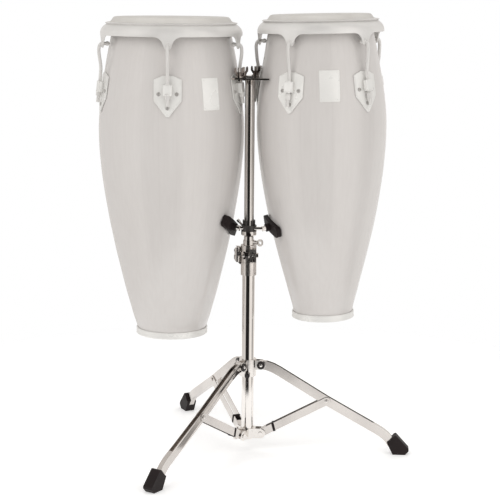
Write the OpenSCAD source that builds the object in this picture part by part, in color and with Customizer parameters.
// Two conga drums on a folding double stand.
// Millimetres, +Z up, floor at z = 0.

/* [Placing] */
// Mast axis, left to right of the middle of the footprint
mast_x = -12; // [-40:0.5:40]
// Mast axis, front to back of the middle of the footprint
mast_y = -12.5; // [-40:0.5:40]

/* [Tripod] */
// Lower tube outer diameter
low_d = 28.6; // [20:0.1:40]
// Lower tube wall
low_wall = 1.6; // [1:0.1:3]
// Lower tube top
low_top = 444.6; // [350:0.1:500]
// Height of the leg pivots on the sliding collar
collar_z = 204.4; // [150:0.1:300]
// Height of the brace pivots on the bottom hub
hub_z = 40.6; // [30:0.1:80]
// Pivot circle radius
pivot_r = 31; // [25:0.1:40]
// Radius where brace meets leg
joint_r = 184; // [120:0.5:220]
// Radius of the foot sole centre
foot_r = 353; // [250:0.5:450]
// Leg width across
leg_w = 12; // [8:0.1:20]
// Leg depth
leg_h = 20.5; // [10:0.5:30]
// Brace strip thickness
strip_t = 2; // [1:0.1:4]
// Brace strip depth
strip_h = 18.5; // [10:0.5:25]
// Azimuth of the first leg
leg_az = -4.2; // [-180:0.1:180]

/* [Mast] */
// Upper tube outer diameter
up_d = 22.2; // [16:0.1:30]
// Upper tube wall
up_wall = 1.5; // [1:0.1:3]
// Bottom end of the upper tube
up_bottom = 235; // [150:1:350]
// Underside of the top plate
plate_z = 862; // [700:0.5:1000]
// Top plate thickness
plate_t = 4; // [2:0.1:8]
// Running fit between sliding tubes and rings, per side
fit = 0.05; // [0.01:0.01:0.1]

/* [Height clamp] */
// Bottom of the clamp sleeve
clamp_z = 416; // [350:0.5:450]
// Outer diameter of the clamp sleeve
clamp_d = 36; // [30:0.5:45]
// Height of the clamp bolt
bolt_z = 465; // [450:0.5:480]

/* [Cradle] */
// Height where the pads touch the shells
pad_z = 530; // [450:1:600]
// Pad thickness
pad_t = 10; // [5:0.5:15]
// Pad hollow radius
pad_rad = 240; // [150:1:400]
// Pad height
pad_h = 27; // [15:0.5:45]
// Chord of the left pad
pad_len_l = 94; // [50:0.5:120]
// Chord of the right pad
pad_len_r = 82; // [50:0.5:120]
// Roll of the left pad
pad_roll_l = 24; // [-30:0.5:30]
// Roll of the right pad
pad_roll_r = 15; // [-30:0.5:30]

/* [Left drum] */
// Axis, left of the mast
lx = -178.5; // [-250:0.5:-120]
// Axis, behind the mast
ly = 50; // [-50:0.5:120]
// Azimuth of the first lug
l_az = -90; // [-180:0.5:180]

/* [Right drum] */
// Axis, right of the mast, at the lug plate height
rx = 160.5; // [120:0.5:250]
// Axis, behind the mast
ry = 35; // [-50:0.5:120]
// Azimuth of the first lug
r_az = -49; // [-180:0.5:180]
// Outward lean of the foot of the drum
r_lean = 1.4; // [0:0.1:5]

/* [Shells] */
// Shell wall
shell_t = 11; // [6:0.5:16]
// Tuning rod diameter
rod_d = 7.6; // [5:0.1:10]

/* [Hidden] */
$fn = 96;
eps = 0.01;
low_r = low_d / 2;
up_r = up_d / 2;
leg_azs = [leg_az, leg_az - 120, leg_az + 120];
fold_a = sqrt(pow(joint_r - pivot_r, 2) + pow((collar_z - hub_z) / 2, 2));
joint_z = (collar_z + hub_z) / 2;

// Shell outlines, [height, outer radius], from foot to bearing edge
l_out = [[270, 80], [284, 80], [308, 88.2], [337, 96.2], [366, 104.4], [394, 111.4],
    [423, 118.4], [451, 125.1], [479, 131.4], [507, 137], [535, 142.8], [563.5, 147.6],
    [591, 152.3], [619, 156.4], [647, 160.1], [675, 162.7], [702, 164.8], [730, 165.8],
    [757, 165.6], [785, 163.8], [815, 160.6], [845, 156.6], [875, 151.8], [910, 145.6],
    [945, 138.6], [965, 134.4], [988, 129.6]];
r_out = [[314, 69], [329, 69], [345, 72], [373, 79.6], [402, 87], [430, 94.4],
    [458.5, 101.8], [487, 108.8], [515, 115.6], [543, 121.6], [571, 127.2], [599, 132],
    [626.5, 136.4], [654, 140.2], [682, 143.2], [709, 145.6], [737, 147], [764, 147.4],
    [791, 146.4], [820, 143.8], [850, 139.8], [880, 134.8], [910, 129.4], [945, 123],
    [970, 118.4], [998, 112.8]];

// Head height, flat radius, rim radius, rim height for each drum
l_head = 998;
l_rim = 160.6;
l_rim_z = 965;
r_head = 1007;
r_rim = 142.5;
r_rim_z = 975;
r_lug_z = 967;
l_rod_out = 6;
r_rod_out = 8.5;

// ---- helpers ----

module at_mast() {
    translate([mast_x, mast_y, 0]) children();
}

module at_left() {
    at_mast() translate([lx, ly, 0]) children();
}

// The right drum leans about the height of the lug plate
module at_right() {
    at_mast() translate([rx, ry, plate_z]) rotate([0, -r_lean, 0]) translate([0, 0, -plate_z])
        children();
}

// Draws a side view given as [radius, height] in the vertical plane at azimuth a, w wide
module side(a, w) {
    rotate([0, 0, a]) rotate([90, 0, 0]) translate([0, 0, -w / 2]) linear_extrude(w) children();
}

// A pin across the side view at [radius, height]
module cross_pin(a, r, z, d, w) {
    rotate([0, 0, a]) translate([r, w / 2, z]) rotate([90, 0, 0]) cylinder(d = d, h = w, $fn = 48);
}

module pill(l, h) {
    square([l - h, h], center = true);
    translate([-(l - h) / 2, 0]) circle(d = h, $fn = 48);
    translate([(l - h) / 2, 0]) circle(d = h, $fn = 48);
}

module round_box(l, h, r) {
    square([l - 2 * r, h], center = true);
    square([l, h - 2 * r], center = true);
    for (sx = [-1, 1], sy = [-1, 1])
        translate([sx * (l / 2 - r), sy * (h / 2 - r)]) circle(r = r, $fn = 32);
}

module hex(af, h) {
    cylinder(d = af / cos(30), h = h, $fn = 6);
}

// A wing nut standing on z = 0 with its bore up z
module wing_nut(bore, span, tall) {
    difference() {
        union() {
            cylinder(r1 = 6.2, r2 = 5, h = 9, $fn = 48);
            for (s = [0, 180])
                rotate([0, 0, s]) rotate([90, 0, 0]) translate([0, 0, -1.4]) linear_extrude(2.8)
                    polygon([[3.8, 1.5], [7.5, 4], [span - 2.5, 6.5], [span, 9], [span, tall - 3],
                        [span - 2, tall], [span - 4.2, tall - 2], [span - 5, 10.5], [3.8, 8]]);
        }
        translate([0, 0, -1]) cylinder(r = bore, h = 40, $fn = 48);
    }
}

// ---- tripod ----

module lower_tube() {
    color("silver") at_mast() difference() {
        translate([0, 0, hub_z - 14]) cylinder(r = low_r, h = low_top - hub_z + 14);
        translate([0, 0, hub_z - 15]) cylinder(r = low_r - low_wall, h = low_top - hub_z + 20);
    }
}

module tube_bushing() {
    color("black") at_mast() difference() {
        union() {
            translate([0, 0, low_top - 60]) cylinder(r = low_r - low_wall - fit, h = 60);
            translate([0, 0, low_top - 0.1]) cylinder(r = low_r - low_wall - fit, h = 0.4);
        }
        translate([0, 0, low_top - 61]) cylinder(r = up_r + fit, h = 64);
    }
}

module bottom_hub() {
    color("gray") at_mast() difference() {
        union() {
            translate([0, 0, hub_z - 12]) cylinder(r = 17, h = 24);
            for (a = leg_azs) {
                side(a, 23.4) {
                    translate([12, hub_z - 11.5]) square([pivot_r - 12, 23]);
                    translate([pivot_r, hub_z]) circle(r = 11.5);
                }
            }
        }
        translate([0, 0, hub_z - 13]) cylinder(r = low_r + eps, h = 26);
        for (a = leg_azs) {
            side(a, 17.2) translate([19.5, hub_z - 20]) square([40, 40]);
            cross_pin(a, pivot_r, hub_z, 6, 40);
        }
    }
}

module hub_pins() {
    color("gray") at_mast() for (a = leg_azs) {
        cross_pin(a, pivot_r, hub_z, 5.98, 25);
        rotate([0, 0, a]) translate([pivot_r, 0, hub_z]) for (s = [-1, 1])
            translate([0, s * 12.75, 0]) rotate([90, 0, 0])
                cylinder(d = 10, h = 2, center = true, $fn = 48);
    }
}

module tripod_collar() {
    color("silver") at_mast() difference() {
        union() {
            translate([0, 0, 178]) cylinder(r = 19.8, h = 40);
            for (a = leg_azs) {
                side(a, 18.8) {
                    translate([16, collar_z - 10.5]) square([pivot_r - 16, 21]);
                    translate([pivot_r, collar_z]) circle(r = 10.5);
                }
            }
            rotate([0, 0, -92]) translate([17, 0, 186]) rotate([0, 90, 0])
                cylinder(r = 6.5, h = 9, $fn = 48);
        }
        translate([0, 0, 170]) cylinder(r = low_r + fit, h = 60);
        for (a = leg_azs) {
            side(a, leg_w + 0.8) translate([20.2, collar_z - 22]) square([40, 44]);
            cross_pin(a, pivot_r, collar_z, 6, 40);
        }
        rotate([0, 0, -92]) translate([10, 0, 186]) rotate([0, 90, 0])
            cylinder(r = 4, h = 30, $fn = 48);
    }
}

module collar_pins() {
    color("black") at_mast() for (a = leg_azs) {
        cross_pin(a, pivot_r, collar_z, 5.98, 20);
        rotate([0, 0, a]) translate([pivot_r, 0, collar_z]) for (s = [-1, 1])
            translate([0, s * 10.95, 0]) rotate([90, 0, 0])
                cylinder(d = 18.5, h = 3, center = true, $fn = 48);
    }
}

module collar_screw() {
    color("black") at_mast() rotate([0, 0, -92]) translate([0, 0, 186]) rotate([0, 90, 0]) {
        translate([0, 0, 14.7]) cylinder(r = 3.95, h = 16, $fn = 48);
        translate([0, 0, 26.4]) cylinder(r = 6, h = 11, $fn = 48);
        translate([0, 0, 37]) rotate([90, 0, 0]) translate([0, 0, -2.5]) linear_extrude(5)
            polygon([[-5, -2], [5, -2], [13, 6], [14, 10], [11, 12], [4, 6], [-4, 6], [-11, 12],
                [-14, 10], [-13, 6]]);
    }
}

// Middle line of a leg, [radius, height]
leg_line = [[pivot_r, collar_z], [44, 202.6], [58, 197.8], [72, 190.4], [86, 181.8], [joint_r, joint_z],
    [300, 57.6], [312, 50.4], [322, 42.6], [330, 34], [336, 24.5]];

// Points off to the side of that line
function beside(i, off) = let (
    n = len(leg_line),
    a = leg_line[max(i - 1, 0)],
    b = leg_line[min(i + 1, n - 1)],
    t = (b - a) / norm(b - a)) leg_line[i] + off * [-t[1], t[0]];

module leg_shape(h) {
    n = len(leg_line);
    translate([pivot_r, collar_z]) circle(r = h);
    polygon(concat([for (i = [0 : n - 1]) beside(i, h)], [for (i = [n - 1 : -1 : 0]) beside(i, -h)]));
}

module leg(a) {
    color("silver") at_mast() difference() {
        side(a, leg_w) leg_shape(leg_h / 2);
        side(a, leg_w - 3.2) intersection() {
            translate([0, 2.6]) leg_shape(leg_h / 2);
            translate([44, 0]) square([250, 400]);
        }
        cross_pin(a, pivot_r, collar_z, 6.08, 40);
    }
}

module foot(a) {
    color("black") at_mast() difference() {
        side(a, 24) polygon([[325.5, 28], [330, 30.5], [342, 45], [346.5, 46], [376, 14], [376, 9],
            [368, 0], [339, 0], [328, 22]]);
        side(a, leg_w + 0.2) leg_shape(leg_h / 2 + 0.1);
    }
}

module brace(a) {
    dz = joint_z - hub_z;
    dr = joint_r - pivot_r;
    ang = atan2(dz, dr);
    gap = leg_w + 0.7;
    color("silver") at_mast() difference() {
        union() {
            difference() {
                side(a, gap + 2 * strip_t)
                    translate([pivot_r + dr / 2, hub_z + dz / 2]) rotate(ang)
                        pill(fold_a + strip_h, strip_h);
                side(a, gap) translate([pivot_r, hub_z]) rotate(ang)
                    translate([19, -20]) square([fold_a, 40]);
            }
            // rivet heads
            rotate([0, 0, a]) translate([joint_r, 0, joint_z]) for (s = [-1, 1])
                translate([0, s * (gap / 2 + strip_t + 0.9), 0]) rotate([90, 0, 0])
                    cylinder(d = 9, h = 2, center = true, $fn = 48);
        }
        cross_pin(a, pivot_r, hub_z, 6.08, 40);
    }
}

// ---- height clamp ----

hinge_x = -25.5;
split_x = 9;

module ring_part(z, h) {
    translate([0, 0, z]) difference() {
        cylinder(d = clamp_d, h = h);
        translate([0, 0, -1]) cylinder(r = up_r + fit, h = h + 2);
    }
}

module clamp_body() {
    color("silver") at_mast() difference() {
        union() {
            translate([0, 0, clamp_z]) cylinder(d = clamp_d, h = 29.2);
            difference() {
                union() {
                    ring_part(445, 41);
                    // hinge knuckles
                    for (k = [[446, 14.5], [470, 11.5]]) translate([hinge_x, 0, k[0]]) {
                        cylinder(r = 7, h = k[1]);
                        translate([0, -4, 0]) cube([14, 11, k[1]]);
                    }
                    // web behind the knuckles
                    translate([0, 7, 0]) rotate([90, 0, 0]) linear_extrude(6.4)
                        polygon([[-9, 484], [-33.5, 474], [-33.5, 453], [-20, 440], [-9, 440]]);
                    // bolt lug
                    translate([split_x + 0.8, -31, 450]) cube([7, 24, 30]);
                }
                // the room of the jaw
                difference() {
                    translate([-40, -40, 445.4]) cube([40 + split_x + 0.6, 40, 60]);
                    translate([hinge_x, 0, 440]) cylinder(r = 7.5, h = 50);
                }
                translate([hinge_x - 9, -9, 461]) cube([18.5, 20, 8.6]);
                translate([0, 0, 440]) cylinder(r = up_r + fit, h = 60);
            }
        }
        translate([0, 0, clamp_z - 1]) cylinder(r = low_r + eps, h = low_top - clamp_z + 1.4);
        translate([0, 0, clamp_z - 1]) cylinder(r = up_r + fit, h = 80);
        translate([hinge_x, 0, 400]) cylinder(r = 2.6, h = 100, $fn = 48);
        translate([0, -25, bolt_z]) rotate([0, 90, 0]) cylinder(r = 3.1, h = 40, $fn = 48);
        // sloping top and bottom of the hinge
        translate([0, 20, 0]) rotate([90, 0, 0]) linear_extrude(40)
            polygon([[-18.6, 482.9], [-45, 472.1], [-45, 500], [-18.6, 500]]);
        translate([0, 20, 0]) rotate([90, 0, 0]) linear_extrude(40)
            polygon([[-18.6, 437], [-35, 453], [-45, 453], [-45, 420], [-18.6, 420]]);
    }
}

module clamp_jaw() {
    color("silver") at_mast() difference() {
        union() {
            difference() {
                ring_part(445.8, 39.8);
                translate([-40, -0.5, 440]) cube([80, 40, 60]);
                translate([split_x - 0.2, -40, 440]) cube([40, 80, 60]);
                translate([hinge_x, 0, 440]) cylinder(r = 8, h = 21.4);
                translate([hinge_x, 0, 469.4]) cylinder(r = 8, h = 21);
            }
            translate([1.6, -31, 450]) cube([7, 14.5, 30]);
            translate([hinge_x, 0, 461.4]) cylinder(r = 7, h = 7.8);
            translate([hinge_x, -7, 461.4]) cube([13.5, 6.4, 7.8]);
        }
        translate([hinge_x, 0, 400]) cylinder(r = 2.6, h = 100, $fn = 48);
        // slot for the bolt
        translate([-10, -25, bolt_z]) rotate([0, 90, 0]) cylinder(r = 3.4, h = 40, $fn = 48);
        translate([-10, -25, bolt_z - 3.4]) cube([40, 5.8, 6.8]);
        // room for the hub of the wing nut
        translate([-16, -25, bolt_z]) rotate([0, 90, 0]) cylinder(r = 8.4, h = 17.59, $fn = 64);
        translate([0, 0, 440]) cylinder(r = up_r + fit, h = 60);
    }
}

module clamp_pin() {
    color("gray") at_mast() translate([hinge_x, 0, 445]) {
        cylinder(r = 2.55, h = 37, $fn = 48);
        translate([0, 0, 36.6]) cylinder(r = 4.2, h = 1.3, $fn = 48);
    }
}

module clamp_bolt() {
    color("gray") at_mast() translate([-14, -25, bolt_z]) rotate([0, 90, 0]) {
        cylinder(r = 3, h = 35, $fn = 48);
        translate([0, 0, 30.9]) hex(11, 5);
    }
}

module clamp_washer() {
    color("gray") at_mast() translate([0, -25, bolt_z]) rotate([0, 90, 0]) difference() {
        cylinder(r = 6, h = 1.2, $fn = 48);
        translate([0, 0, -1]) cylinder(r = 3.05, h = 4, $fn = 48);
    }
}

module clamp_wing() {
    color("black") at_mast() translate([-0.3, -25, bolt_z]) rotate([0, -90, 0])
        wing_nut(3.05, 9, 13);
}

// ---- mast and memory lock ----

module upper_tube() {
    color("silver") at_mast() difference() {
        translate([0, 0, up_bottom]) cylinder(r = up_r, h = plate_z - up_bottom - 0.05);
        translate([0, 0, up_bottom - 1]) cylinder(r = up_r - up_wall, h = plate_z - up_bottom + 2);
    }
}

module memory_ring() {
    color("silver") at_mast() difference() {
        union() {
            translate([0, 0, 486.8]) cylinder(r = 13, h = 10.4);
            rotate([0, 0, -25]) translate([11.6, 0, 492]) rotate([0, 90, 0])
                cylinder(r = 4.8, h = 6.4, $fn = 48);
        }
        translate([0, 0, 480]) cylinder(r = up_r + fit, h = 40);
        rotate([0, 0, -25]) translate([8, 0, 492]) rotate([0, 90, 0])
            cylinder(r = 3, h = 30, $fn = 48);
    }
}

module memory_screw() {
    color("black") at_mast() rotate([0, 0, -25]) translate([0, 0, 492]) rotate([0, 90, 0]) {
        translate([0, 0, 11.5]) cylinder(r = 2.95, h = 10, $fn = 48);
        translate([0, 0, 18.3]) cylinder(r = 4.6, h = 4.2, $fn = 48);
        translate([0, 0, 22]) rotate([90, 0, 0]) translate([0, 0, -2]) linear_extrude(4)
            difference() {
                polygon([[-3.5, -1], [3.5, -1], [7, 2], [8.3, 6], [7.6, 10], [4.5, 12.6], [0, 13.4],
                    [-4.5, 12.6], [-7.6, 10], [-8.3, 6], [-7, 2]]);
                translate([0, 6.6]) circle(r = 3.6, $fn = 32);
            }
    }
}

// ---- cradle ----

function shell_r(tab, z) = lookup(z, tab);
function slope(tab, z) = atan2(shell_r(tab, z + 12) - shell_r(tab, z - 12), 24);
function unit(v) = v / norm(v);
function cross3(a, b) = cross(a, b);

pad_rl = shell_r(l_out, pad_z);
pad_rr = shell_r(r_out, pad_z);
pad_axr = rx + (plate_z - pad_z) * tan(r_lean);
// directions from the drum axes to the pads
pad_ul = unit([-46 - lx, 0.8 - ly, 0]);
pad_ur = unit([57 - pad_axr, -1 - ry, 0]);
pad_tl = slope(l_out, pad_z);
pad_tr = slope(r_out, pad_z) + r_lean;
pad_nl = [-pad_ul[0] * cos(pad_tl), -pad_ul[1] * cos(pad_tl), sin(pad_tl)];
pad_nr = [-pad_ur[0] * cos(pad_tr), -pad_ur[1] * cos(pad_tr), sin(pad_tr)];
pad_gap = 0.7;
pad_cl = [lx, ly, pad_z] + pad_rl * pad_ul - pad_gap * pad_nl;
pad_cr = [pad_axr, ry, pad_z] + pad_rr * pad_ur - pad_gap * pad_nr;
pad_stem = pad_t + 13;
pad_bl = pad_cl - pad_stem * pad_nl;
pad_br = pad_cr - pad_stem * pad_nr;

// Places children with z along the pad's facing, y up the shell and x round it
module pad_frame(c, n, roll) {
    x = unit(cross(unit([0, 0, 1] - n[2] * n), n));
    y = cross(n, x);
    multmatrix([[x[0], y[0], n[0], c[0]], [x[1], y[1], n[1], c[1]], [x[2], y[2], n[2], c[2]],
        [0, 0, 0, 1]]) rotate([0, 0, roll]) children();
}

module pad(len) {
    difference() {
        union() {
            intersection() {
                translate([0, pad_h / 2 + 5, pad_rad]) rotate([90, 0, 0]) difference() {
                    cylinder(r = pad_rad + pad_t, h = pad_h + 10, $fn = 180);
                    translate([0, 0, -1]) cylinder(r = pad_rad, h = pad_h + 12, $fn = 180);
                }
                translate([0, 0, -pad_t - 5]) linear_extrude(60) round_box(len, pad_h, 8);
            }
            translate([0, 0, -pad_t - 8.5]) cylinder(r = 9, h = 10.5, $fn = 48);
        }
        translate([0, 0, -pad_t - 9]) cylinder(r = 4, h = 12, $fn = 48);
    }
}

module pad_left() {
    color("black") at_mast() pad_frame(pad_cl, pad_nl, pad_roll_l) pad(pad_len_l);
}

module pad_right() {
    color("black") at_mast() pad_frame(pad_cr, pad_nr, pad_roll_r) pad(pad_len_r);
}

module pad_rods() {
    color("silver") at_mast() {
        for (p = [[pad_bl, pad_nl, -1], [pad_br, pad_nr, 1]]) {
            pad_frame(p[0], p[1], 0) {
                translate([0, 0, -4]) cylinder(r = 6, h = 8, $fn = 64);
                translate([0, 0, 3]) cylinder(r = 3.95, h = 12, $fn = 48);
            }
            translate([p[2] * 12.6, p[0][1], p[0][2]]) rotate([0, p[2] * 90, 0])
                cylinder(r = 4, h = abs(p[0][0]) - 12.6, $fn = 48);
        }
    }
}

module cradle_ring() {
    color("silver") at_mast() difference() {
        union() {
            translate([0, 0, 506]) cylinder(r1 = 14.2, r2 = 17.5, h = 3.2);
            translate([0, 0, 509.1]) cylinder(r = 17.5, h = 8.4);
        }
        translate([0, 0, 500]) cylinder(r = up_r + eps, h = 20);
        translate([0, 0, 511.5]) rotate([90, 0, 0]) cylinder(r = 3, h = 30, $fn = 48);
    }
}

module cradle_screw() {
    color("black") at_mast() translate([0, 0, 511.5]) rotate([90, 0, 0]) {
        translate([0, 0, up_r + 0.2]) cylinder(r = 2.95, h = 8, $fn = 48);
        translate([0, 0, 17.6]) cylinder(r = 5, h = 4, $fn = 48);
    }
}

module cradle_yoke() {
    color("black") at_mast() difference() {
        union() {
            translate([0, 0, 518]) cylinder(r = 17.5, h = 13);
            translate([0, 0, 530]) cylinder(r = 14.4, h = 13);
        }
        translate([0, 0, 510]) cylinder(r = up_r + eps, h = 50);
        for (p = [[pad_bl, -1], [pad_br, 1]])
            translate([p[1] * 12.4, p[0][1], p[0][2]]) rotate([0, p[1] * 90, 0])
                cylinder(r = 4 + eps, h = 20, $fn = 48);
        translate([-5.6, -30, 531.01]) cube([11.2, 30, 20]);
        translate([-12, 4, 526]) rotate([0, -40, 0]) cylinder(r = 2.5, h = 40, $fn = 48);
    }
}

module yoke_bolt() {
    color("gray") at_mast() translate([-12, 4, 526]) rotate([0, -40, 0]) {
        translate([0, 0, 0.5]) cylinder(r = 2.49, h = 16, $fn = 48);
        translate([0, 0, 15]) cylinder(r = 3.6, h = 7, $fn = 48);
    }
}

// ---- top plate ----

// Lug directions seen from the drum axes
l_lug = [cos(l_az + 72), sin(l_az + 72)];
r_lug = [cos(r_az - 144), sin(r_az - 144)];
l_rod = [lx, ly] + 165.2 * l_lug;
r_rod = [rx, ry] + 147.2 * r_lug;
l_out_dir = -l_lug;
r_out_dir = [cos(2.4), sin(2.4)];
bolts = [l_rod + 2 * l_lug + 17 * [l_lug[1], -l_lug[0]], l_rod + 2 * l_lug - 17 * [l_lug[1], -l_lug[0]],
    r_rod + [-5, -17], r_rod + [6.5, 17.5]];

module plate_shape() {
    difference() {
        polygon([[-6, -36], [30, -45], [43, -44], [42, -30], [22, 2], [24, 30], [40, 60], [44, 84],
            [34, 100], [2, 100], [-10, 86], [-14, 50], [-22, 28], [-40, 22], [-44, -14], [-42, -30],
            [-34, -36]]);
        translate([lx, ly]) circle(r = 156.5, $fn = 180);
        translate([rx, ry]) circle(r = 141.2, $fn = 180);
    }
}

module slot(p, d, len) {
    translate(p) rotate(atan2(d[1], d[0])) {
        circle(d = rod_d + 2, $fn = 48);
        translate([0, -(rod_d + 2) / 2]) square([len, rod_d + 2]);
    }
}

module top_plate() {
    color("silver") at_mast() difference() {
        translate([0, 0, plate_z]) linear_extrude(plate_t) difference() {
            plate_shape();
            slot(l_rod, l_out_dir, 60);
            slot(r_rod, r_out_dir, 60);
            circle(r = 5.02, $fn = 48);
        }
        for (b = bolts) translate([b[0], b[1], 800]) cylinder(r = 3.02, h = 100, $fn = 48);
    }
}

module plate_plug() {
    color("black") at_mast() {
        translate([0, 0, plate_z - 26]) cylinder(r = up_r - up_wall - 0.02, h = 25.9);
        translate([0, 0, plate_z - 1]) cylinder(r = 5, h = plate_t + 1.02);
        translate([0, 0, plate_z + plate_t + 0.02]) cylinder(r = 7, h = 2.6);
    }
}

module plate_bolts() {
    color("gray") at_mast() for (b = bolts) translate([b[0], b[1], 0]) {
        translate([0, 0, plate_z - 4.4]) hex(10, 4.38);
        translate([0, 0, plate_z - 1]) cylinder(r = 3, h = 27, $fn = 48);
    }
}

// Slotted grip plate under a pair of wing nuts
module grip(p, d, b1, b2, c, r) {
    ang = atan2(b2[1] - b1[1], b2[0] - b1[0]);
    mid = (b1 + b2) / 2;
    color("silver") at_mast() difference() {
        translate([0, 0, plate_z + plate_t + 0.05]) linear_extrude(3) difference() {
            translate(mid) rotate(ang) pill(norm(b2 - b1) + 18, 18);
            slot(p, d, 40);
            translate(c) circle(r = r, $fn = 180);
            circle(r = 8);
        }
        for (b = [b1, b2]) translate([b[0], b[1], 800]) cylinder(r = 3.02, h = 100, $fn = 48);
    }
}

module grip_left() {
    grip(l_rod, l_out_dir, bolts[0], bolts[1], [lx, ly], 156.5);
}

module grip_right() {
    grip(r_rod, r_out_dir, bolts[2], bolts[3], [rx, ry], 141.2);
}

module wing(i, turn) {
    color("black") at_mast() translate([bolts[i][0], bolts[i][1], plate_z + plate_t + 3.15])
        rotate([0, 0, turn]) wing_nut(3.05, 10.6, 20);
}

module wing_1() { wing(0, 12); }
module wing_2() { wing(1, 30); }
module wing_3() { wing(2, -8); }
module wing_4() { wing(3, 20); }

// ---- drums ----

// Ring profile that follows the shell between two heights, from off to off + t outside it
module skin(tab, z0, z1, off, t) {
    zs = concat([z0], [for (p = tab) if (p[0] > z0 && p[0] < z1) p[0]], [z1]);
    n = len(zs);
    rotate_extrude($fn = 144) polygon(concat(
        [for (z = zs) [shell_r(tab, z) + off, z]],
        [for (i = [n - 1 : -1 : 0]) [shell_r(tab, zs[i]) + off + t, zs[i]]]));
}

module shell(tab, top) {
    n = len(tab);
    rotate_extrude($fn = 144) polygon(concat(
        [for (p = tab) [p[1], p[0]]],
        [[tab[n - 1][1] - 1.8, top - 3.6], [tab[n - 1][1] - 5, top - 2.4]],
        [[tab[n - 1][1] - shell_t, top - 5]],
        [for (i = [n - 1 : -1 : 0]) [tab[i][1] - shell_t, tab[i][0] - (i == n - 1 ? 6 : 0)]]));
}

// Drum head: flat skin over the bearing edge down to the flesh hoop
module head(tab, top, hoop_z) {
    e = tab[len(tab) - 1][1];
    h1 = tab[len(tab) - 1][0];
    w = shell_r(tab, hoop_z - 6) + 0.2;
    rotate_extrude($fn = 144) polygon([[0, top - 1.8], [e - 4, top - 1.8], [e - 1.2, top - 3.2],
        [e + 0.4, h1], [w, hoop_z], [w, hoop_z - 6], [w + 7, hoop_z - 6], [w + 7, hoop_z + 10],
        [e + 9, top - 13.5], [e + 3.2, top - 4.8], [e + 0.8, top - 1.4], [e - 3.4, top],
        [0, top]]);
}

// Rounded crown with a shield-shaped ear over each hook
module crown(tab, rim, rz, top, az) {
    w = shell_r(tab, rz) + 10;
    difference() {
        union() {
            rotate_extrude($fn = 144) polygon([[w - 3.5, rz + 19], [w, rz + 20.5], [w + 5, rz + 19],
                [rim - 10, rz + 14], [rim - 4.5, rz + 8.5], [rim - 1, rz + 2.5], [rim, rz - 2],
                [rim, rz - 8.5], [rim - 3.2, rz - 8.5], [rim - 3.2, rz - 2], [rim - 4.4, rz + 2],
                [rim - 8, rz + 6.5], [rim - 12.5, rz + 10.5], [w + 4, rz + 15], [w - 2, rz + 16.4]]);
            intersection() {
                rotate_extrude($fn = 144) polygon([[rim - 3.2, rz - 40], [rim, rz - 40],
                    [rim, rz + 1], [rim - 3.2, rz + 1]]);
                for (i = [0 : 4]) rotate([0, 0, az + i * 72]) translate([rim - 30, 0, 0])
                    rotate([90, 0, 90]) linear_extrude(60)
                        polygon([[-24, rz], [-24, rz - 8], [-19, rz - 10.5], [-8.5, rz - 32],
                            [-5, rz - 35], [5, rz - 35], [8.5, rz - 32], [19, rz - 10.5],
                            [24, rz - 8], [24, rz]]);
            }
        }
        for (i = [0 : 4]) rotate([0, 0, az + i * 72]) translate([rim - 20, 0, rz - 27])
            rotate([0, 90, 0]) cylinder(r = rod_d / 2 + 0.7, h = 60, $fn = 32);
    }
}

module base_ring(tab, r_in) {
    z0 = tab[0][0];
    rotate_extrude($fn = 144) polygon([[r_in + eps, z0 + 13], [r_in + 2, z0 + 13.4],
        [r_in + 3, z0 + 12], [r_in + 3, z0 + 0.5], [r_in + 1.5, z0 - 1.6], [r_in - 9, z0 - 1.6],
        [r_in - 9, z0 - eps], [r_in + eps, z0 - eps]]);
}

// Rod path in the plane of one lug, [radius, height]
function rod_path(rim, rz, hz, k) = [[rim - 12, rz - 27], [rim - 4, rz - 27], [rim + 2, rz - 27.8],
    [rim + 5.4, rz - 32], [rim + 6.8, rz - 39], [rim + 6.6, rz - 49], [rim + 5, hz - 61],
    [rim + 3.3, hz - 72], [rim + 2.8, hz - 82], [rim + 3.4, hz - 92], [rim + 4.6, hz - 104],
    [rim + 4.6 + k, hz - 157]];

module swept_rod(path, d) {
    n = len(path);
    m = 14;
    pts = [for (i = [0 : n - 1]) let (
            a = path[max(i - 1, 0)],
            b = path[min(i + 1, n - 1)],
            t = (b - a) / norm(b - a))
        for (k = [0 : m - 1]) let (c = d / 2 * cos(k * 360 / m), s = d / 2 * sin(k * 360 / m))
            [path[i][0] - t[1] * c, s, path[i][1] + t[0] * c]];
    polyhedron(pts, concat([[for (k = [0 : m - 1]) k]],
        [for (i = [0 : n - 2], k = [0 : m - 1])
            [i * m + k, (i + 1) * m + k, (i + 1) * m + (k + 1) % m, i * m + (k + 1) % m]],
        [[for (k = [m - 1 : -1 : 0]) (n - 1) * m + k]]), convexity = 6);
}

module hooks(rim, rz, hz, k, az) {
    for (i = [0 : 4]) rotate([0, 0, az + i * 72]) swept_rod(rod_path(rim, rz, hz, k), rod_d);
}

// The straight lower part of a rod leans outward by k in 53 mm
module on_rod(rim, rz, k, az, below) {
    for (i = [0 : 4]) rotate([0, 0, az + i * 72])
        translate([rim + 4.6 + (below - 104) * k / 53, 0, rz - below])
            rotate([0, -atan2(k, 53), 0]) children();
}

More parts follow.
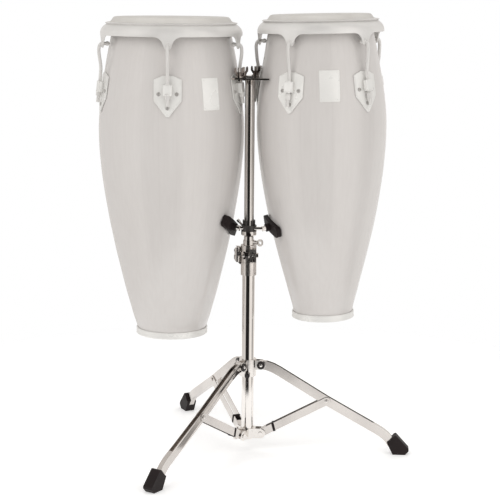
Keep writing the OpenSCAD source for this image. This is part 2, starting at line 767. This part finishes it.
module side_plates(tab, rim, rz, k, az) {
    top = rz - 91;
    difference() {
        union() {
            intersection() {
                skin(tab, top - 92, top + 2, 0.05, 2.4);
                for (i = [0 : 4]) rotate([0, 0, az + i * 72]) translate([100, 0, top])
                    rotate([90, 0, 90]) linear_extrude(100)
                        polygon([[-12, 0], [-30.5, -9], [-30.5, -54], [-3, -89], [3, -89],
                            [30.5, -54], [30.5, -9], [12, 0]]);
            }
            on_rod(rim, rz, k, az, 122) difference() {
                translate([-14, -10, -12]) cube([19.4, 20, 24]);
                translate([-15, -11, -13]) cube([7.4, 4, 30]);
                translate([-15, 7, -13]) cube([7.4, 4, 30]);
            }
        }
        on_rod(rim, rz, k, az, 122) translate([0, 0, -30]) cylinder(r = rod_d / 2 + 0.4, h = 60, $fn = 32);
        skin(tab, top - 92, top + 2, -30, 30.05);
    }
}

module plate_screws(tab, rz, az) {
    top = rz - 91;
    for (i = [0 : 4], p = [[-20, -40], [20, -40], [0, -70]]) {
        r = shell_r(tab, top + p[1]) + 2.5;
        rotate([0, 0, az + i * 72 + p[0] / r * 57.3]) translate([r, 0, top + p[1]])
            rotate([0, 90 + slope(tab, top + p[1]), 0]) cylinder(r1 = 4.6, r2 = 3, h = 2.2, $fn = 32);
    }
}

module nuts(rim, rz, k, az) {
    on_rod(rim, rz, k, az, 137) difference() {
        union() {
            translate([0, 0, -11]) hex(10.8, 10);
            translate([0, 0, -1]) cylinder(r = 6.3, h = 1.8, $fn = 48);
        }
        translate([0, 0, -30]) cylinder(r = rod_d / 2 + 0.1, h = 60, $fn = 32);
    }
}

module badge(tab, rz, az, w, z0, z1) {
    intersection() {
        skin(tab, z0 - 3, z1 + 3, 0.05, 1);
        rotate([0, 0, az]) translate([100, 0, (z0 + z1) / 2]) rotate([90, 0, 90])
            linear_extrude(100) round_box(w, z1 - z0, 2.5);
    }
}

module shell_left() { color("tan") at_left() shell(l_out, l_head); }
module head_left() { color("white") at_left() head(l_out, l_head, 970); }
module crown_left() { color("silver") at_left() crown(l_out, l_rim, l_rim_z, l_head, l_az); }
module base_ring_left() { color("silver") at_left() base_ring(l_out, 80); }
module side_plates_left() { color("silver") at_left() side_plates(l_out, l_rim, l_rim_z, l_rod_out, l_az); }
module plate_screws_left() { color("gray") at_left() plate_screws(l_out, l_rim_z, l_az); }
module hooks_left() { color("silver") at_left() hooks(l_rim, l_rim_z, l_rim_z, l_rod_out, l_az); }
module nuts_left() { color("gray") at_left() nuts(l_rim, l_rim_z, l_rod_out, l_az); }
module badge_left() { color("silver") at_left() badge(l_out, l_rim_z, l_az + 36, 42, 798, 868); }

module shell_right() { color("tan") at_right() shell(r_out, r_head); }
module head_right() { color("white") at_right() head(r_out, r_head, 979); }
module crown_right() { color("silver") at_right() crown(r_out, r_rim, r_rim_z, r_head, r_az); }
module base_ring_right() { color("silver") at_right() base_ring(r_out, 69); }
module side_plates_right() { color("silver") at_right() side_plates(r_out, r_rim, r_lug_z, r_rod_out, r_az); }
module plate_screws_right() { color("gray") at_right() plate_screws(r_out, r_lug_z, r_az); }
module hooks_right() { color("silver") at_right() hooks(r_rim, r_rim_z, r_lug_z, r_rod_out, r_az); }
module nuts_right() { color("gray") at_right() nuts(r_rim, r_lug_z, r_rod_out, r_az); }
module badge_right() { color("silver") at_right() badge(r_out, r_rim_z, r_az - 36, 45, 820, 888); }

module leg_1() { leg(leg_azs[0]); }
module leg_2() { leg(leg_azs[1]); }
module leg_3() { leg(leg_azs[2]); }
module foot_1() { foot(leg_azs[0]); }
module foot_2() { foot(leg_azs[1]); }
module foot_3() { foot(leg_azs[2]); }
module brace_1() { brace(leg_azs[0]); }
module brace_2() { brace(leg_azs[1]); }
module brace_3() { brace(leg_azs[2]); }

lower_tube();
tube_bushing();
bottom_hub();
hub_pins();
tripod_collar();
collar_pins();
collar_screw();
leg_1();
leg_2();
leg_3();
foot_1();
foot_2();
foot_3();
brace_1();
brace_2();
brace_3();
clamp_body();
clamp_jaw();
clamp_pin();
clamp_bolt();
clamp_washer();
clamp_wing();
memory_ring();
memory_screw();
upper_tube();
cradle_ring();
cradle_screw();
cradle_yoke();
yoke_bolt();
pad_rods();
pad_left();
pad_right();
top_plate();
plate_plug();
plate_bolts();
grip_left();
grip_right();
wing_1();
wing_2();
wing_3();
wing_4();
shell_left();
head_left();
crown_left();
base_ring_left();
side_plates_left();
plate_screws_left();
hooks_left();
nuts_left();
badge_left();
shell_right();
head_right();
crown_right();
base_ring_right();
side_plates_right();
plate_screws_right();
hooks_right();
nuts_right();
badge_right();
